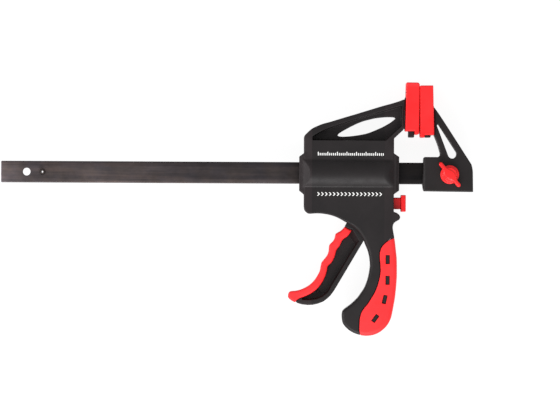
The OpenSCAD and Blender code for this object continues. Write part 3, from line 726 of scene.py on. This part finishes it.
V, T, N = carve("front", housing, (-94.4, -128.1, 0), (-3.4, 64.5, 17), 0.55, 0.20, plan)
piece("front_shell_skin", V, T, N, "housing", "black_nylon", BLACK, "front_shell")
V, T, N = carve("back", lambda P, x, y, z: housing(P, x, y, z, True),
                (-94.4, -128.1, 0), (-3.4, 64.5, 17), 0.55, 0.20, plan)
piece("back_shell_skin", *flipped(V, T, N), "housing", "black_nylon", BLACK, "back_shell")
V, T, N = carve("grip", grip, (-47, -128.1, 0), (-17.2, -50.5, 13.3), 0.5, 0.24, plan)
piece("grip_front_skin", V, T, N, "housing", "red_grip", SOFT, "grip_front")
piece("grip_back_skin", *flipped(V, T, N), "housing", "red_grip", SOFT, "grip_back")

# ------------------------------------------------------------------ trigger
plan2 = Plan(-108, -34, -109, -20)
plan2.add("trigger", TRIGGER, 9)
plan2.add("pocket", TRIGGER_POCKET)
plan2.add("finger", FINGER)


def trigger(P, x, y, z):
    a = np.abs(z)
    f = rint(P("trigger"), a - 8.5, 1.0)
    ramp_ = np.clip(1 + ((x + 52.4) * 0.844 + (y + 44.7) * 0.536) / 4.6, 0, 1)
    cut = rint(P("pocket") + np.clip(8.5 - a, 0, 7) * 0.08, 2 + 5.9 * ramp_ - a, 0.7)
    # beside the soft strip the strip itself is the pocket's wall
    cut = np.minimum(cut, np.maximum(np.maximum(P("pocket") - 0.5, P("finger") - 0.9), 2 + 5.9 * ramp_ - a))
    f = rint(f, -cut, 0.5)
    # small round gate mark in the web
    f = np.minimum(f, rint(np.hypot(x + 79.2, y + 93.3) - 1.2, a - 2.5, 0.3))
    f = np.minimum(f, np.maximum(np.hypot(x + 45, y + 27.7) - 5.5, a - 8.5))
    return f


def strip(P, x, y, z):
    return rint(P("finger"), np.abs(z) - 9, 1.9)


V, T, N = carve("trig", trigger, (-98, -104.3, -8.5), (-39, -22, 8.5), 0.5, 0.20, plan2)
piece("trigger_skin", V, T, N, "trigger", "black_nylon", BLACK, "trigger")
V, T, N = carve("strip", strip, (-103.2, -102.5, -9), (-53, -42.5, 9), 0.5, 0.24, plan2)
piece("trigger_grip_skin", V, T, N, "trigger", "red_grip", SOFT, "trigger_grip")

# ------------------------------------------------------------------ fixed jaw
plan3 = Plan(-2, 46, -18, 62)
plan3.add("jaw", JAW, 9)


def teardrop(x, y):
    ax, ay, ra = SLOT_A
    bx, by, rb = SLOT_B
    ex, ey = bx - ax, by - ay
    L = math.hypot(ex, ey)
    u = ((x - ax) * ex + (y - ay) * ey) / L
    v = np.abs((x - ax) * ey - (y - ay) * ex) / L
    s = (rb - ra) / L
    c = math.sqrt(1 - s * s)
    along = u * c + v * s
    return np.where(along < 0, np.hypot(u, v) - ra,
                    np.where(along > L * c, np.hypot(u - L, v) - rb, v * c - u * s - ra))


def jaw(P, x, y, z):
    a = np.abs(z)
    f = rint(P("jaw"), a - 11, 1.1)
    f = rint(f, (4.4 - x) * 0.66 + (a - 11) * 0.75, 0.3)
    f = rint(f, -teardrop(x, y), 0.6)
    u, v = head(x, y, (0.05, 68.7), 0.6, 1)
    w = u - back_of(v)
    plate = np.maximum(slab(u, v, 10, 12.4, -39.4, -19.9, 0.4), 0.13 - w)
    f = np.minimum(f, rint(plate, a - 10.5, 0.3))
    f = np.minimum(f, rint(slab(u, v, 8, 11.2, -37.8, -16), a - 4.4, 0.3))
    f = np.minimum(f, rint(slab(u, v, 3.7, 8.3, -40.75, -9, 0.6), a - 8.5, 0.6))
    socket = np.maximum(np.maximum(np.abs(y + 0.3) - 8.6, a - 2.6), x - 38.7)
    return rint(f, -socket, 0.3)


V, T, N = carve("jaw", jaw, (2, -14.8, -11), (42.6, 60, 11), 0.5, 0.20, plan3)
piece("fixed_jaw_skin", V, T, N, "frame", "black_nylon", BLACK_JAW, "fixed_jaw")


# ------------------------------------------------------------------ pads
def pad(at, turn, side, low, ledge, tip):
    def shape(P, x, y, z):
        u, v = head(x, y, at, turn, side)
        a = np.abs(z)
        f = rint(v, u - back_of(v), 0.45)
        f = rint(f, -u, tip)
        f = rint(f, ledge - v, 0.6)
        low_part = rint(rint(rint(low - v, u - 3.5, 0.4), v + 2, 0.3), -u, 1.1)
        f = runi(f, low_part, 0.2)
        f = rint(f, a - 17, 1.2)
        f = rint(f, -np.maximum(slab(u, v, 3.5, 8.5, -60, -8.8, 0.3), a - 8.7), 0.3)
        return rint(f, -np.maximum(slab(u, v, 8, 20, -60, -9.8, 0.2), a - 4.7), 0.3)
    return shape


V, T, N = carve("padm", pad((-0.15, 71), -0.5, -1, -40.7, -38.2, 2.0), (-12, 30, -17), (0.4, 71.4, 17), 0.5, 0.16)
piece("pad_moving_skin", V, T, N, "housing", "red_pad", PAD, "pad_moving")
V, T, N = carve("padf", pad((0.05, 68.7), 0.6, 1, -40.7, -38.9, 0.9), (0, 27.8, -17), (12, 69, 17), 0.5, 0.16)
piece("pad_fixed_skin", V, T, N, "frame", "red_pad", PAD, "pad_fixed")


# ------------------------------------------------------------------ button and knob
def button(P, x, y, z):
    a = np.abs(z)
    b = np.abs(y + 23.9)
    f = rint(rint(np.abs(x + 23.95) - 1.25, b - 6.2, 0.3), a - 7.5, 0.3)
    f = np.minimum(f, rint(rint(b - 4.6, a - 5.5, 1.2), np.abs(x + 18.5) - 4.2, 0.2))
    cap = rint(rint(np.abs(x + 12.5) - 2.0, b - 6.6, 0.7), a - 8, 0.9)
    return runi(f, cap, 0.4)


V, T, N = carve("button", button, (-25.2, -30.6, -8), (-10.4, -17.2, 8), 0.4, 0.25)
piece("release_button_skin", V, T, N, "button", "red_plastic", BUTTON_RED, "release_button")


def knob(P, x, y, z):
    a = math.radians(-49.5)
    px, py = x - KNOB_AT[0], y - KNOB_AT[1]
    u = px * math.cos(a) + py * math.sin(a)
    v = -px * math.sin(a) + py * math.cos(a)
    rr = np.hypot(px, py)
    f = rint(rr - 7.3, np.abs(z - 12.7) - 1.5, 0.7)
    hub = rint(rr - 5.6, np.abs(z - 14.4) - 3.2, 0.9)
    f = runi(f, hub, 0.8)
    bend = 0.55 * np.sin(np.clip(u / 7.0, -1, 1) * math.pi)
    wing2 = np.hypot(np.maximum(np.abs(u) - 10.75, 0), v - bend) - 1.55
    wing2 = runi(wing2, rr - 2.6, 5.0)
    wing = rint(wing2, z - (18.4 - 0.010 * u * u), 1.2)
    wing = np.maximum(wing, 11.9 - z)
    f = runi(f, wing, 0.7)
    return np.maximum(f, -np.maximum(rr - 4.7, z - 16.3))


V, T, N = carve("knob", knob, (14, -12, 11.2), (33, 9.5, 18.4), 0.25, 0.5)
piece("lock_knob_skin", V, T, N, "knob", "red_plastic", HARD_RED, "lock_knob")


# ------------------------------------------------------------------ bar and stop pin
def bar(P, x, y, z):
    b = np.abs(y + 0.3)
    f = rint(rint(b - 8.5, np.abs(z) - 2.5, 0.9), np.maximum(x - 38.6, -329 - x), 0.35)
    f = np.maximum(f, ((-329 + 0.5) - x + b - 8.5) * 0.7071)
    for cx in (-308.9, 23.7):
        f = rint(f, 3.05 - np.hypot(x - cx, y + (0.3 if cx < 0 else 1.1)), 0.2)
    return rint(f, 2.02 - np.hypot(x + 296.5, y + 0.3), 0.15)


V, T, N = carve("bar", bar, (-329, -8.8, -2.5), (38.6, 8.2, 2.5), 0.42, 0.12)
piece("bar_skin", V, T, N, "frame", "blackened_steel", BAR, "bar")


def stop_pin(P, x, y, z):
    r = np.hypot(x + 296.5, y + 0.3)
    return rint(rint(r - 2.0, 0.82 - r, 0.45), np.abs(z) - 6, 0.45)


V, T, N = carve("pin", stop_pin, (-298.6, -2.4, -6), (-294.4, 1.8, 6), 0.2, 0.3)
piece("stop_pin_skin", V, T, N, "frame", "zinc_steel", PIN, "stop_pin")


# ------------------------------------------------------------------ screws
def screw(P, x, y, z):
    r = np.hypot(x, y)
    head_ = rint(r - 2.8, rint(-z, z - 2.3 + 0.06 * r * r, 0.25), 0.3)
    cross = np.minimum(np.maximum(np.abs(x) - 0.38, np.abs(y) - 1.75),
                       np.maximum(np.abs(y) - 0.38, np.abs(x) - 1.75))
    head_ = rint(head_, -np.maximum(cross, 0.75 + 0.25 * r - z), 0.1)
    return runi(head_, np.maximum(r - 1.5, np.maximum(z - 0.5, -3 - z)), 0.2)


V, T, N = carve("screw", screw, (-2.9, -2.9, -3), (2.9, 2.9, 2.3), 0.2, 0.3)
V, T, N = flipped(V, T, N)
Vs, Ts, Ns = [], [], []
for k, (sx, sy) in enumerate(SCREWS):
    a = math.radians(17 + 41 * k)
    R = np.array([[math.cos(a), -math.sin(a), 0], [math.sin(a), math.cos(a), 0], [0, 0, 1]])
    Ts.append(T + k * len(V))
    Vs.append(V @ R.T + [sx, sy, -9.3])
    Ns.append(N @ R.T)
piece("shell_screws_skin", np.concatenate(Vs), np.concatenate(Ts), np.concatenate(Ns),
      "housing", "zinc_steel", ZINC, "shell_screws")


# ------------------------------------------------------------------ printed marks
def prisms(polys, z0, z1):
    """Thin closed prisms on flat outlines, counter-clockwise."""
    V, F = [], []
    for p in polys:
        n, b = len(p), len(V)
        V += [(x, y, z0) for x, y in p] + [(x, y, z1) for x, y in p]
        F.append([b + n + i for i in range(n)])
        F.append([b + n - 1 - i for i in range(n)])
        F += [[b + i, b + (i + 1) % n, b + n + (i + 1) % n, b + n + i] for i in range(n)]
    return V, F


def marks(name, polys, z0, z1):
    V, F = prisms(polys, z0, z1)
    me = bpy.data.meshes.new(name)
    me.from_pydata([tuple(row(v)) for v in V], [], F)
    me.materials.append(INK)
    ob = bpy.data.objects.new(name, me)
    bpy.context.scene.collection.objects.link(ob)
    m = ob.modifiers.new("edge", "BEVEL")
    m.width = 0.00003
    m.segments = 1
    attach(ob, "housing")
    return ob


ticks = []
for i in range(35):
    x = -79.5 + 1.5 * i
    tall = 2.8 if i % 5 == 0 else 1.9
    ticks.append([(x - 0.36, 13.5), (x + 0.36, 13.5), (x + 0.36, 13.5 + tall), (x - 0.36, 13.5 + tall)])
marks("scale_print", ticks, 12.46, 12.54)
arrows = []
for i in range(17):
    x = -80.3 + 3.05 * i
    arrows.append([(x, -18.2), (x + 0.9, -18.2), (x + 2.2, -16.8), (x + 0.9, -15.4), (x, -15.4), (x + 1.3, -16.8)])
marks("arrow_print", arrows, 12.46, 12.54)

# ------------------------------------------------------------------ CAD parts that stay
for n, mat in (("trigger_pin", ZINC), ("drive_plates", PLATE), ("drive_spring", SPRING),
               ("brake_plate", PLATE), ("brake_spring", SPRING), ("lock_pin", ZINC),
               ("lock_spring", SPRING)):
    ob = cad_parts[n]
    ob.data.materials.clear()
    ob.data.materials.append(mat)
    w = ob.modifiers.new("weld", "WELD")
    w.merge_threshold = 0.000005
    if n in ("trigger_pin", "drive_plates", "brake_plate", "lock_pin"):
        b = ob.modifiers.new("edge", "BEVEL")
        b.width = 0.00025
        b.segments = 2
        b.limit_method = "ANGLE"
        b.angle_limit = math.radians(35)
    s = ob.modifiers.new("normals", "WEIGHTED_NORMAL")
    s.keep_sharp = True

# ------------------------------------------------------------------ floor, light, camera
floor_me = bpy.data.meshes.new("floor")
floor_me.from_pydata([(-3, -3, -0.0002), (3, -3, -0.0002), (3, 3, -0.0002), (-3, 3, -0.0002)], [], [(0, 1, 2, 3)])
floor = bpy.data.objects.new("floor", floor_me)
bpy.context.scene.collection.objects.link(floor)
fm, nt, bsdf, co = new_material("pale_floor")
nt.links.new(ramp(nt, noise(nt, co, 6, 2), [(0.3, (0.11, 0.11, 0.11, 1)), (0.7, (0.13, 0.13, 0.13, 1))]),
             bsdf.inputs["Base Color"])
bsdf.inputs["Roughness"].default_value = 0.9
bsdf.inputs["Specular IOR Level"].default_value = 0.0
bsdf.inputs["Emission Color"].default_value = (1, 1, 1, 1)
bsdf.inputs["Emission Strength"].default_value = 0.92
floor_me.materials.append(fm)

world = bpy.data.worlds.new("studio")
bpy.context.scene.world = world
world.use_nodes = True
world.node_tree.nodes["Background"].inputs["Color"].default_value = (1, 1, 1, 1)
world.node_tree.nodes["Background"].inputs["Strength"].default_value = 0.75


def area(name, at, to, size, power):
    li = bpy.data.lights.new(name, "AREA")
    li.shape = "RECTANGLE"
    li.size, li.size_y = size
    li.energy = power
    ob = bpy.data.objects.new(name, li)
    ob.location = at
    d = np.array(to, float) - np.array(at, float)
    from mathutils import Vector
    ob.rotation_euler = Vector(d).to_track_quat("-Z", "Y").to_euler()
    bpy.context.scene.collection.objects.link(ob)
    return ob


area("key", (0.0, -0.85, 0.75), (0.03, 0, 0), (1.0, 0.5), 14)
area("side", (-1.0, -0.15, 0.5), (0.03, 0, 0), (0.5, 0.7), 6.5)

cam = bpy.data.cameras.new("camera")
cam.lens = 327.6
cam.sensor_width = 36
cam.clip_start = 0.1
cam.clip_end = 50
cam_ob = bpy.data.objects.new("camera", cam)
cam_ob.location = (0.0340, -0.001055, 4.0295)
cam_ob.rotation_euler = (0, 0, 0.0049)
bpy.context.scene.collection.objects.link(cam_ob)
bpy.context.scene.camera = cam_ob

bpy.context.scene.view_settings.view_transform = "Standard"
bpy.context.scene.view_settings.look = "None"
